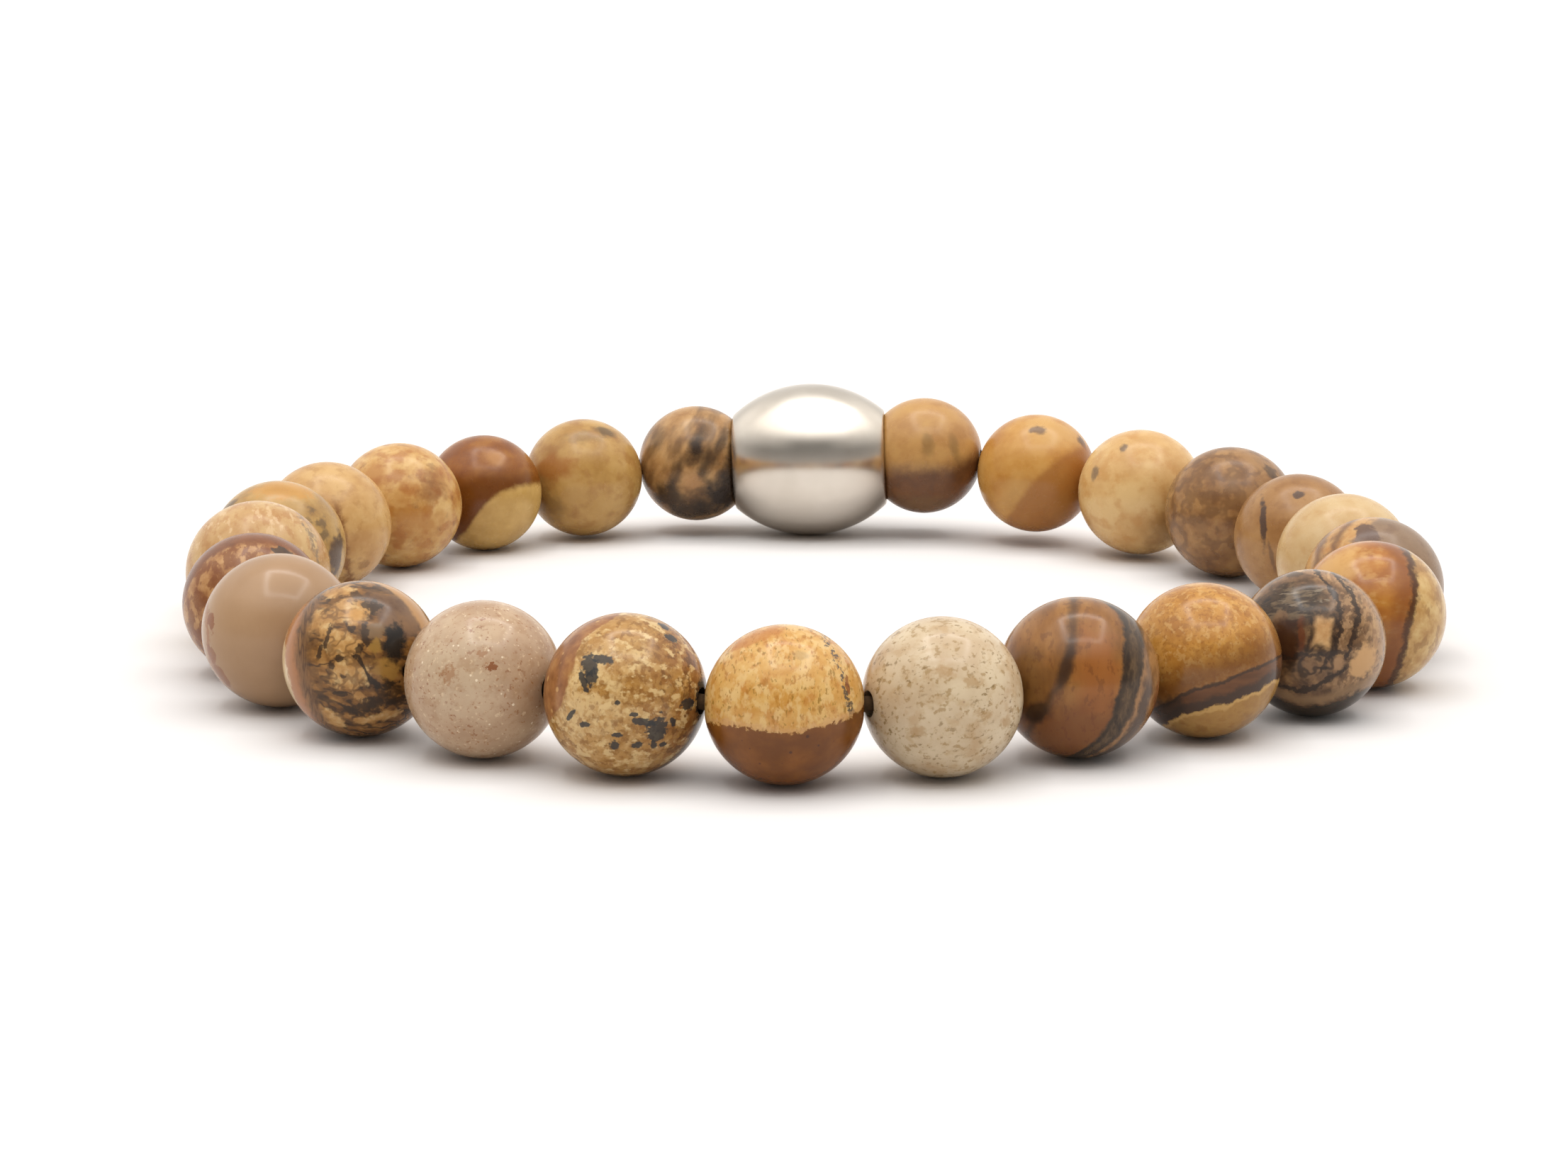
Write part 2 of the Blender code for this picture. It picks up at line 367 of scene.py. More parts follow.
def veined_mosaic(stone):
    browns = ((82, 54, 28), (122, 84, 42), (152, 108, 58), (178, 134, 78))
    stone.base(*browns, size=(0.22, 0.12), turn=-15, detail=3, spread=0.2)
    vein = (58, 42, 28)
    stone.paint(vein, stone.veins((0.36, 0.18), 0.045, turn=-18, detail=2), strength=0.75)
    cream = stone.blend((180, 134, 78), (202, 157, 98), (220, 186, 132), size=0.16, detail=3)
    for spot in (
        (-0.16, 0.6, 0.25, 0.19), (-0.5, 0.45, 0.15, 0.2, 15), (-0.28, 0.85, 0.2, 0.09, 10),
        (-0.25, 0.17, 0.26, 0.16, -15), (-0.16, -0.2, 0.24, 0.2, 10), (-0.36, -0.76, 0.18, 0.11, -35),
        (-0.02, -0.48, 0.12, 0.05, -30), (0.3, -0.72, 0.22, 0.06, 15), (0.02, -0.78, 0.14, 0.05),
    ):
        stone.dab(cream, *spot, ragged=0.45, soft=0.25, strength=0.95)
    field = stone.blotch(-0.25, 0.1, 0.45, 0.8, grain=0.3)
    stone.paint((120, 86, 50), stone.both(field, stone.veins(0.26, 0.035, detail=2)), strength=0.65)
    stone.dab((214, 162, 92), -0.07, 0.55, 0.11, 0.1, grain=0.1, soft=0.5, strength=0.7)
    smooth = stone.blotch(0.44, 0.6, 0.42, 0.26, turn=-38, ragged=0.25, grain=0.3, soft=0.2)
    stone.paint(stone.blend((104, 76, 56), (124, 94, 70), (140, 106, 74), size=0.4), smooth)
    rim = stone.line([(0.2, 0.95), (0.48, 0.77), (0.66, 0.54), (0.78, 0.3), (0.84, 0)], wobble=0.02)
    upper_rim = stone.both(stone.between(rim, 0, 0.16, soft=0.03), stone.step(stone.up, 0.1, 0.1))
    stone.paint((198, 152, 98), upper_rim, strength=0.9)
    stone.dab((134, 106, 74), 0.18, 0.36, 0.12, 0.1, grain=0.1, soft=0.3, strength=0.9)
    points = [(-0.12, 0.06), (0, -0.04), (0.12, -0.28), (0.22, -0.33), (0.5, -0.31)]
    bow = stone.line(points, upright=False, wobble=0.04)
    short_bow = stone.both(stone.between(bow, -0.05, 0.04), stone.blotch(0.2, -0.14, 0.36, 0.3))
    stone.paint((46, 34, 24), short_bow, strength=0.9)
    for spot in (
        (0.13, 0.66, 0.13, 0.09), (0.04, 0.3, 0.05, 0.16, 10), (-0.27, 0, 0.07, 0.04),
        (-0.37, -0.08, 0.05, 0.04), (-0.12, 0.38, 0.05, 0.04), (-0.42, 0.26, 0.03, 0.14, -15),
        (-0.52, 0.08, 0.03, 0.1, -20), (-0.23, -0.23, 0.04, 0.03), (-0.26, -0.44, 0.12, 0.035, -10),
        (0.16, -0.58, 0.26, 0.1, 12), (0.46, -0.52, 0.14, 0.05, 15), (-0.1, -0.66, 0.16, 0.04, -25),
        (-0.02, 0.12, 0.05, 0.07, -30),
    ):
        stone.dab(vein, *spot, ragged=0.7, grain=0.08, soft=0.25, strength=0.85)
    stone.dab((160, 124, 60), 0.18, 0.15, 0.08, 0.08, grain=0.1, soft=0.3, strength=0.9)
    stone.dab((168, 128, 64), 0.31, -0.13, 0.17, 0.13, grain=0.1, soft=0.3, strength=0.9)
    stone.dab((34, 27, 22), 0.42, 0.2, 0.14, 0.26, turn=-8, ragged=0.35, grain=0.1, soft=0.3)
    side = stone.line([(-0.42, 1), (-0.58, 0.6), (-0.68, 0.2), (-0.64, -0.2), (-0.52, -0.6), (-0.3, -1)])
    greys = stone.blend((106, 72, 42), (136, 98, 62), (88, 60, 36), (146, 106, 64), size=(0.1, 0.8))
    stone.paint(greys, stone.before(side, soft=0.05), strength=0.95)
    stone.paint((176, 118, 70), stone.before(side, -0.15, soft=0.05))
    stone.paint(IVORY, stone.before(side, -0.28))


def speckled_pink(stone):
    stone.base((186, 156, 130), (198, 170, 144), (208, 182, 156), size=0.5, spread=0.16)
    stone.dab((210, 192, 170), -0.35, 0.2, 0.5, 0.55, ragged=0.4, grain=0.3, soft=0.6, strength=0.5)
    stone.mottle((176, 138, 104), 0.14, 0.58, soft=0.08, strength=0.4)
    stone.mottle(CARAMEL, 0.05, 0.66, soft=0.04, detail=2, strength=0.55)
    rusty = stone.both(stone.clouds(0.07, 0.62), stone.clouds(0.4, 0.52, soft=0.08))
    stone.paint(RUST, rusty, strength=0.6)
    stone.paint((250, 236, 216), stone.specks(0.075, 0.017, share=0.3), strength=0.9)
    stone.mottle((236, 214, 186), 0.06, 0.64, soft=0.05, strength=0.6)
    stone.dab(RUST, 0.1, 0.15, 0.06, 0.04, turn=20, ragged=1, grain=0.05, strength=0.85)
    for spot in ((-0.42, 0.06, 0.1, 0.1), (-0.04, 0.32, 0.06, 0.04)):
        stone.dab(CARAMEL, *spot, ragged=0.8, grain=0.06, soft=0.3, strength=0.5)


def ink_blotched_cream(stone):
    stone.base((190, 146, 84), (206, 166, 106), (220, 188, 134), size=0.3)
    right = stone.step(stone.right, 0.38, 0.5)
    stone.mottle((176, 128, 62), 0.2, 0.52, soft=0.06, detail=3, strength=0.75)
    stone.mottle((146, 102, 44), 0.12, 0.55, soft=0.05, detail=3, strength=0.8)
    middle = stone.both(stone.clouds(0.1, 0.48, soft=0.05), stone.blotch(0.12, 0.12, 0.32, 0.24, soft=0.5))
    stone.paint((148, 100, 42), middle, strength=0.8)
    large = stone.both(stone.clouds(0.2, 0.44, soft=0.06, detail=3), right)
    stone.paint((148, 98, 52), large, strength=0.85)
    small = stone.both(stone.clouds(0.12, 0.54, soft=0.05, detail=3), right)
    stone.paint((100, 64, 34), small, strength=0.75)
    stone.mottle((230, 202, 150), (0.16, 0.12), 0.58, soft=0.05, detail=3, strength=0.85)
    pale = stone.clouds(0.2, 0.42, soft=0.06)
    left = stone.blotch(-0.44, -0.05, 0.34, 0.55, turn=-15, soft=0.4)
    stone.paint((230, 200, 148), stone.both(pale, left), strength=0.8)
    stone.mottle((190, 146, 84), 0.09, 0.56, soft=0.06, detail=3, strength=0.6)
    stone.mottle((150, 104, 52), (0.07, 0.1), 0.62, soft=0.05, detail=3, strength=0.6)
    side = stone.line([
        (-0.05, 1), (-0.18, 0.9), (-0.52, 0.64), (-0.66, 0.25),
        (-0.74, -0.05), (-0.86, -0.25), (-1.1, -0.5),
    ])
    rust = stone.blend((136, 84, 42), (156, 102, 56), (176, 124, 70), size=0.2)
    stone.paint(rust, stone.before(side))
    flecks = stone.both(stone.specks(0.12, 0.035, share=0.6), stone.before(side))
    stone.paint((214, 168, 106), flecks, strength=0.75)
    ink = (50, 51, 54)
    for spot in (
        (-0.43, 0.36, 0.1, 0.15, 12), (-0.27, 0.42, 0.15, 0.06, -8), (-0.4, 0.21, 0.07, 0.12, -20),
        (-0.5, 0.15, 0.045, 0.13, 20), (0.38, -0.42, 0.12, 0.17, -10), (0.22, -0.33, 0.15, 0.05, -8),
        (0.34, -0.61, 0.04, 0.07, 10), (-0.66, -0.25, 0.035, 0.1, -40), (-0.5, -0.36, 0.07, 0.035),
        (-0.1, -0.49, 0.07, 0.03), (-0.13, -0.61, 0.06, 0.07, -30), (0.14, -0.61, 0.07, 0.04, 20),
        (0.45, -0.6, 0.05, 0.04), (0.57, -0.33, 0.035, 0.07, 20), (0.55, 0.68, 0.09, 0.05, -20),
        (0.47, 0.82, 0.08, 0.04, -30), (0.94, -0.05, 0.1, 0.26), (0.75, -0.12, 0.12, 0.07, 10),
        (-0.1, -0.1, 0.04, 0.03), (0.1, -0.24, 0.05, 0.025),
    ):
        stone.dab(ink, *spot, ragged=0.45, grain=0.06, soft=0.15, strength=0.92)
    low = stone.line([(0.3, -0.95), (0.6, -0.74), (0.82, -0.42), (0.95, -0.1)], upright=False)
    stone.paint(BARK, stone.before(low, soft=0.05), strength=0.8)


def half_dipped(stone):
    stone.base((210, 156, 78), (220, 172, 98), (228, 188, 120), size=0.25, detail=5)
    stone.mottle(HONEY, (0.14, 0.18), 0.59, soft=0.06, strength=0.5)
    stone.mottle((236, 204, 146), (0.12, 0.2), 0.54, soft=0.06, detail=3, strength=0.65)
    stone.mottle((176, 118, 44), (0.07, 0.13), 0.61, soft=0.05, detail=3, strength=0.65)
    stone.mottle((154, 118, 48), (0.045, 0.09), 0.64, soft=0.05, detail=2, strength=0.75)
    stone.dab(HONEY, -0.3, 0.86, 0.35, 0.1, turn=25, soft=0.3, strength=0.7)
    stone.dab(ASH, 0.2, 0.6, 0.1, 0.05, soft=0.4, strength=0.3)
    streak = stone.line([(0.46, 0.88), (0.6, 0.62), (0.7, 0.4), (0.78, 0.1)], wobble=0.05, grain=0.1)
    dots = stone.both(stone.between(streak, -0.03, 0.03), stone.clouds(0.07, 0.5))
    stone.paint(SLATE, dots, strength=0.9)
    stone.dab(RUST, 0.77, 0.24, 0.025, 0.12, turn=10, strength=0.8)
    points = [
        (-0.98, -0.21), (-0.8, -0.24), (-0.66, -0.25), (-0.42, -0.29), (-0.19, -0.33), (0.1, -0.35),
        (0.21, -0.34), (0.4, -0.28), (0.57, -0.23), (0.79, -0.16), (0.88, -0.1), (0.99, 0.02),
    ]
    dip = stone.line(points, upright=False, wobble=0.05, grain=0.06)
    stone.stripe((214, 168, 116), dip, 0, 0.06, soft=0.03, strength=0.65)
    low = stone.blend((116, 68, 20), (130, 78, 25), (144, 88, 33), size=0.5)
    stone.paint(low, stone.before(dip, soft=0.015))
    pits = stone.both(stone.specks(0.1, 0.022, share=0.35), stone.before(dip))
    stone.paint(UMBER, pits, strength=0.8)


def speckled_ivory(stone):
    stone.base((208, 186, 158), (218, 200, 174), (226, 210, 185), size=0.5)
    stone.mottle((192, 160, 118), 0.2, 0.57, soft=0.08, strength=0.45)
    groups = stone.clouds(0.35, 0.48, soft=0.1)
    stone.mottle((168, 138, 90), 0.09, 0.61, soft=0.05, strength=0.7)
    grains = stone.both(stone.clouds((0.09, 0.06), 0.61, soft=0.04, turn=20), groups)
    stone.paint((138, 112, 68), grains, strength=0.75)
    stone.paint(CHESTNUT, stone.specks(0.14, 0.018, share=0.3), strength=0.4)
    for place in ((0, 0.3), (0.36, 0.18), (0.78, -0.3), (0.5, -0.2), (-0.3, -0.42)):
        stone.dab((178, 142, 92), *place, 0.1, 0.06, ragged=0.8, grain=0.07, soft=0.5, strength=0.55)


def slate_bow(stone):
    stone.base((132, 88, 42), (150, 102, 50), (166, 118, 62), size=(0.25, 0.9), detail=5)
    stone.dab((162, 98, 46), 0.22, 0, 0.26, 0.6, ragged=0.4, grain=0.3, soft=0.5, strength=0.7)
    # Painted shade: the lower half is laid darker and warmer
    stone.dab((124, 72, 32), 0, -0.7, 0.9, 0.4, ragged=0.3, grain=0.3, soft=0.5, strength=0.8)
    stone.mottle(CHESTNUT, (0.08, 0.14), 0.6, soft=0.05, strength=0.4)
    streak = stone.line([
        (-0.06, 0.8), (-0.07, 0.6), (-0.08, 0.4), (-0.13, 0.2),
        (-0.18, 0), (-0.34, -0.25), (-0.5, -0.5),
    ])
    stone.stripe((80, 54, 32), streak, -0.06, 0.05, soft=0.05, strength=0.75)
    dark = (64, 42, 26)
    stone.dab(dark, -0.14, 0.14, 0.08, 0.3, turn=-16, ragged=0.3, grain=0.2, soft=0.5, strength=0.85)
    stone.dab((56, 36, 22), -0.5, -0.43, 0.24, 0.13, turn=20, grain=0.3, soft=0.5, strength=0.9)
    stone.dab((98, 68, 40), -0.6, 0, 0.26, 0.4, turn=10, grain=0.3, soft=0.6, strength=0.55)
    points = [
        (0.1, 1), (0.36, 0.9), (0.53, 0.67), (0.55, 0.4), (0.53, 0.05),
        (0.46, -0.24), (0.34, -0.58), (0.12, -0.83), (-0.2, -1),
    ]
    bow = stone.line(points)
    outer = stone.blend((146, 106, 68), (168, 126, 84), (122, 88, 56), size=(0.12, 0.4))
    stone.paint(outer, stone.beyond(bow, 0.18))
    slate = stone.blend((62, 46, 32), (104, 82, 58), (76, 58, 42), size=(0.1, 0.3))
    stone.stripe(slate, bow, 0, 0.24, soft=0.03)
    stone.stripe((46, 33, 24), bow, 0, 0.08, soft=0.03, strength=0.75)
    stone.stripe((50, 37, 28), bow, 0.17, 0.24, soft=0.025, strength=0.6)
    strand = stone.between(bow, 0.3, 0.42, soft=0.03)
    lower = stone.outside(stone.step(stone.up, 0, 0.2))
    stone.paint((70, 52, 42), stone.both(strand, lower), strength=0.9)
    stone.paint((140, 88, 48), stone.beyond(bow, 0.46), strength=0.9)


def golden_with_dark_bed(stone):
    stone.base((182, 124, 52), (198, 142, 66), (212, 160, 84), size=0.3, detail=5)
    stone.mottle((166, 112, 52), 0.12, 0.56, soft=0.05, strength=0.55)
    stone.mottle((222, 180, 114), 0.1, 0.58, soft=0.06, strength=0.6)
    stone.mottle(OCHRE, (0.04, 0.05), 0.61, soft=0.04, strength=0.6)
    points = [
        (-1, -0.8), (-0.6, -0.62), (-0.42, -0.54), (-0.25, -0.43), (0.01, -0.34),
        (0.27, -0.26), (0.47, -0.17), (0.67, -0.1), (0.84, -0.02), (0.97, 0.06),
    ]
    bed = stone.line(points, upright=False, wobble=0.025, grain=0.12)
    stone.stripe((118, 74, 36), bed, -0.1, 0.36, soft=0.28, strength=0.85)
    stone.paint(stone.blend((98, 62, 34), (116, 74, 42), size=(0.6, 0.1)), stone.before(bed))
    stone.stripe((60, 42, 30), bed, -0.025, 0.02, strength=0.85)
    points = [
        (-1, -1.1), (-0.55, -0.86), (-0.25, -0.7), (0.1, -0.6), (0.3, -0.55),
        (0.47, -0.47), (0.7, -0.38), (0.82, -0.28), (0.97, -0.24),
    ]
    low = stone.line(points, upright=False, wobble=0.04, grain=0.14)
    stone.stripe((66, 48, 38), low, -0.02, 0.13, soft=0.04, strength=0.9)
    stone.dab((54, 38, 26), -0.45, -0.62, 0.24, 0.14, turn=25, grain=0.2, soft=0.4, strength=0.8)
    pale = stone.blend((160, 118, 60), (180, 138, 76), (170, 128, 70), size=0.25)
    stone.paint(pale, stone.before(low))
    stone.stripe((216, 178, 112), low, -0.05, 0, soft=0.02, strength=0.7)


def broken_mosaic(stone):
    stone.base((92, 68, 46), (130, 98, 70), (160, 126, 90), size=0.22)
    stone.mottle((106, 80, 60), (0.2, 0.3), 0.56, soft=0.05, strength=0.6)
    points = [(-0.3, 0.98), (0.3, 0.8), (0.64, 0.5), (0.76, 0.2), (0.76, -0.1), (0.7, -0.5)]
    rim = stone.line(points, wobble=0.05)
    pale = stone.blend((186, 146, 106), (160, 124, 92), (204, 166, 122), size=(0.1, 0.3))
    stone.paint(pale, stone.beyond(rim, soft=0.06), strength=0.85)
    limb = stone.step(stone.right, 0.3, 0.2)
    for colour, size, level in (((192, 156, 118), (0.1, 0.16), 0.56), ((104, 80, 58), (0.08, 0.14), 0.58)):
        flakes = stone.both(limb, stone.clouds(size, level, soft=0.05, turn=-25))
        stone.paint(colour, flakes, strength=0.6)
    dark = stone.blotch(-0.36, 0.46, 0.56, 0.34, turn=18, ragged=0.35, grain=0.3, soft=0.25)
    smoke = stone.blend((44, 32, 23), (74, 57, 40), (50, 37, 26), (114, 97, 76), size=(0.34, 0.12), turn=10)
    stone.paint(smoke, dark, strength=0.95)
    wisps = stone.clouds((0.28, 0.06), 0.56, soft=0.04, turn=8)
    wisps = stone.both(wisps, stone.blotch(-0.2, 0.62, 0.4, 0.14))
    stone.paint((150, 136, 118), wisps, strength=0.7)
    stone.dab((136, 106, 76), -0.4, 0.3, 0.09, 0.13, turn=-20, soft=0.3, strength=0.85)
    stone.dab((66, 38, 22), -0.3, 0.02, 0.24, 0.32, ragged=0.4, grain=0.2, soft=0.35, strength=0.95)
    stone.dab((112, 62, 32), -0.13, 0.1, 0.05, 0.2, soft=0.4, strength=0.8)
    border = stone.blotch(0.15, 0.12, 0.19, 0.29, turn=-8, ragged=0.3, soft=0.25, square=True)
    stone.paint((44, 34, 28), border, strength=0.85)
    stone.dab((134, 104, 74), 0.15, 0.13, 0.13, 0.22, turn=-8, ragged=0.25, soft=0.25, square=True)
    core = stone.blotch(0.15, 0.13, 0.1, 0.18, turn=-8, ragged=0.25, grain=0.1, soft=0.4, square=True)
    stone.paint(stone.blend((196, 152, 104), (216, 178, 130), size=0.1), core)
    line_colour = (52, 38, 30)
    for points in (
        [(0.2, 0.8), (0.32, 0.6), (0.38, 0.4), (0.36, 0.15), (0.32, -0.05), (0.24, -0.2)],
        [(0.36, 0.88), (0.55, 0.6), (0.61, 0.36), (0.53, 0), (0.45, -0.2), (0.36, -0.4)],
    ):
        ring = stone.between(stone.line(points, wobble=0.06, grain=0.12), -0.035, 0.03)
        stone.paint(line_colour, stone.both(ring, stone.step(stone.up, -0.42, 0.06)), strength=0.9)
    points = [(-0.5, -0.5), (-0.34, -0.6), (-0.1, -0.62), (0.2, -0.5), (0.42, -0.36)]
    under = stone.line(points, upright=False, wobble=0.05)
    span = stone.step(stone.right, -0.5, 0.1)
    span = stone.both(span, stone.outside(stone.step(stone.right, 0.46, 0.08)))
    stone.paint(line_colour, stone.both(stone.between(under, -0.035, 0.035), span), strength=0.9)
    stone.dab((146, 114, 84), -0.12, -0.38, 0.2, 0.12, turn=10, grain=0.15, soft=0.25, strength=0.85)
    stone.dab((172, 136, 102), 0.32, -0.28, 0.1, 0.1, turn=-40, grain=0.15, soft=0.35, strength=0.85)
    fragments = stone.blotch(0.08, -0.3, 0.48, 0.26, grain=0.3, soft=0.3)
    stone.paint(line_colour, stone.both(fragments, stone.veins(0.34, 0.04, detail=2)), strength=0.8)
    across = stone.line([(-0.4, -0.2), (0, -0.16), (0.3, -0.14), (0.6, -0.1)], upright=False, wobble=0.06)
    stone.paint(line_colour, stone.both(stone.between(across, -0.03, 0.03), span), strength=0.85)
    stone.dab((210, 168, 120), 0.68, -0.26, 0.14, 0.27, turn=-35, soft=0.3, strength=0.95)
    points = [(-1, -0.6), (-0.42, -0.64), (-0.16, -0.74), (0.18, -0.72), (0.6, -0.56), (1, -0.4)]
    low = stone.line(points, upright=False)
    stone.stripe((150, 120, 88), low, -0.07, 0.03, soft=0.04, strength=0.85)
    deep = stone.blend((42, 31, 20), (60, 47, 32), size=0.2)
    stone.paint(deep, stone.before(low, -0.1, soft=0.04), strength=0.95)


def honey_with_ragged_seam(stone):
    stone.base((170, 106, 42), (186, 122, 52), (198, 140, 66), size=0.4)
    stone.dab((222, 178, 114), -0.5, 0.6, 0.4, 0.26, turn=35, grain=0.2, soft=0.5, strength=0.85)
    stone.mottle((216, 170, 104), (0.3, 0.16), 0.6, soft=0.06, strength=0.5)
    stone.dab((140, 88, 46), 0.1, -0.6, 0.7, 0.4, soft=0.5, strength=0.6)
    points = [
        (0.3, 1), (0.46, 0.88), (0.54, 0.62), (0.58, 0.35), (0.56, 0.12),
        (0.5, -0.1), (0.46, -0.35), (0.4, -0.6), (0.28, -0.9),
    ]
    seam = stone.line(points, wobble=0.045, grain=0.14)
    stone.stripe((138, 80, 38), seam, -0.26, 0, soft=0.14, strength=0.75)
    outer = stone.blend((190, 148, 92), (210, 174, 116), (222, 192, 138), size=0.22)
    stone.paint(outer, stone.beyond(seam))
    patches = stone.both(stone.clouds((0.16, 0.26), 0.56, soft=0.05, detail=3), stone.beyond(seam))
    stone.paint((160, 118, 70), patches, strength=0.65)
    stone.stripe((78, 48, 28), seam, -0.06, 0.03, soft=0.03, strength=0.9)


def grey_brown_striped(stone):
    stone.base((136, 110, 90), (154, 128, 106), (146, 120, 98), size=0.4)
    side = stone.line([(0.1, 1), (-0.12, 0.8), (-0.25, 0.5), (-0.3, -0.2), (-0.2, -1)])
    creams = stone.blend((200, 152, 94), (212, 170, 116), (196, 142, 82), size=0.3)
    stone.paint(creams, stone.before(side, soft=0.06))
    for start, end in ((-0.36, -0.26), (-0.56, -0.46), (-0.7, -0.66)):
        stone.stripe((124, 90, 64), side, start, end, soft=0.05, strength=0.85)
    stone.dab((108, 84, 74), -0.1, 0.72, 0.17, 0.3, turn=6, grain=0.15, soft=0.2, strength=0.95)
    stone.mottle((126, 98, 80), 0.25, 0.6, soft=0.06, strength=0.5)


def plain_cream(stone):
    stone.base((208, 174, 124), (216, 186, 140), (222, 196, 154), size=0.5)
    stone.mottle((200, 158, 106), 0.2, 0.62, soft=0.07, strength=0.4)


def tan_with_dark_streak(stone):
    stone.base((158, 114, 68), (172, 128, 80), (184, 142, 94), size=0.5)
    stone.mottle((146, 102, 60), 0.2, 0.6, soft=0.07, strength=0.4)
    dark = (78, 60, 54)
    stone.dab(dark, -0.53, 0.25, 0.05, 0.42, turn=2, ragged=0.4, soft=0.3, strength=0.9)
    stone.dab(dark, -0.4, -0.3, 0.03, 0.25, turn=12, ragged=0.4, soft=0.5, strength=0.5)
    stone.dab(dark, 0, 0.67, 0.1, 0.06, grain=0.15, soft=0.3, strength=0.85)


def mauve_mottled(stone):
    stone.base((138, 98, 60), (158, 116, 72), (178, 136, 88), size=0.3, detail=5)
    stone.mottle((164, 126, 84), 0.26, 0.56, soft=0.08, strength=0.5)
    stone.paint((108, 76, 50), stone.veins(0.5, 0.05), strength=0.5)
    stone.dab((180, 140, 96), 0.4, 0.76, 0.4, 0.1, turn=-30, soft=0.4, strength=0.6)
    stone.dab((62, 46, 34), 0.62, 0.6, 0.08, 0.14, turn=40, soft=0.4, strength=0.7)


def spotted_gold(stone):
    stone.base((212, 168, 108), (226, 186, 128), (236, 202, 146), size=0.6)
    stone.mottle((204, 148, 80), 0.3, 0.58, soft=0.09, strength=0.5)
    grey = (118, 98, 80)
    stone.dab(grey, -0.28, 0.69, 0.07, 0.08, grain=0.15, soft=0.4, strength=0.85)
    stone.dab(grey, -0.72, 0.3, 0.06, 0.12, grain=0.15, soft=0.4, strength=0.75)
    stone.paint(grey, stone.specks(0.4, 0.06, share=0.2, soft=0.8), strength=0.5)
    stone.dab((150, 108, 66), 0.45, -0.6, 0.4, 0.25, turn=30, grain=0.3, soft=0.5, strength=0.5)


def orange_with_grey_spots(stone):
    stone.base((196, 138, 64), (208, 154, 80), (218, 168, 96), size=0.5)
    stone.dab((222, 180, 116), 0.25, 0.75, 0.6, 0.25, turn=-15, grain=0.3, soft=0.5, strength=0.75)
    stone.dab((204, 158, 92), -0.3, -0.4, 0.3, 0.35, turn=-40, grain=0.3, soft=0.5, strength=0.7)
    grey = (112, 84, 62)
    stone.dab(grey, 0.03, 0.72, 0.13, 0.08, grain=0.15, soft=0.4, strength=0.85)
    stone.dab(grey, 0.78, 0.52, 0.06, 0.14, turn=30, grain=0.15, soft=0.4, strength=0.9)
    points = [(-0.6, -0.95), (-0.3, -0.5), (0, -0.1), (0.3, 0.18), (0.65, 0.4), (1, 0.55)]
    cut = stone.line(points, upright=False)
    stone.paint((166, 108, 52), stone.before(cut, soft=0.1), strength=0.75)


def toasted_half(stone):
    stone.base((190, 142, 86), (202, 156, 98), (208, 164, 102), size=0.4)
    for spot in ((0.05, 0.15, 0.09, 0.2), (0.52, 0.12, 0.08, 0.2, 10)):
        stone.dab((142, 112, 70), *spot, grain=0.3, soft=0.6, strength=0.6)
    low = stone.line([(-1, -0.2), (0, -0.2), (0.5, -0.15), (1, 0.1)], upright=False, wobble=0.08, grain=0.3)
    toast = stone.blend((98, 62, 40), (112, 72, 44), (126, 82, 48), size=0.4)
    stone.paint(toast, stone.before(low, soft=0.2), strength=0.95)
    stone.dab((128, 96, 60), 0, -0.85, 0.5, 0.15, soft=0.5, strength=0.6)


def dark_streaked(stone):
    stone.base((170, 126, 78), (192, 150, 100), (204, 164, 114), size=0.4)
    stone.mottle((96, 66, 40), (0.22, 0.7), 0.53, soft=0.14, turn=-25, detail=2, strength=0.65)
    dark = (46, 33, 24)
    for *spot, strength in (
        (0, 0.28, 0.13, 0.32, -18, 0.95), (0.42, 0.3, 0.1, 0.34, -20, 0.7),
        (-0.68, 0.4, 0.14, 0.25, -25, 0.5), (0.14, -0.05, 0.1, 0.3, -25, 0.75),
        (-0.36, -0.2, 0.1, 0.3, -20, 0.6), (0.7, 0.15, 0.16, 0.45, -10, 0.95),
        (0.44, -0.58, 0.42, 0.42, -38, 1), (0.72, -0.28, 0.28, 0.46, -15, 1),
        (-0.5, -0.6, 0.34, 0.26, 20, 0.9), (-0.1, -0.85, 0.44, 0.2, 0, 0.9),
    ):
        stone.dab(dark, *spot, ragged=0.4, grain=0.25, soft=0.6, strength=strength)
    stone.dab((196, 150, 102), -0.04, -0.34, 0.13, 0.16, turn=-20, grain=0.2, soft=0.5, strength=0.8)


def smudged_gold(stone):
    stone.base((182, 140, 78), (198, 158, 94), (208, 170, 108), size=0.5)
    stone.mottle((164, 112, 60), 0.3, 0.58, soft=0.1, strength=0.5)
    stone.dab((170, 104, 44), -0.6, 0.16, 0.45, 0.2, turn=-5, grain=0.3, soft=0.6, strength=0.7)
    stone.dab((92, 74, 56), 0.36, 0.78, 0.18, 0.1, turn=-15, grain=0.2, soft=0.6, strength=0.8)
    stone.dab((150, 120, 78), 0, 0.68, 0.3, 0.1, grain=0.2, soft=0.5, strength=0.6)
    stone.dab((128, 94, 54), -0.6, -0.5, 0.25, 0.3, turn=30, grain=0.3, soft=0.5, strength=0.6)


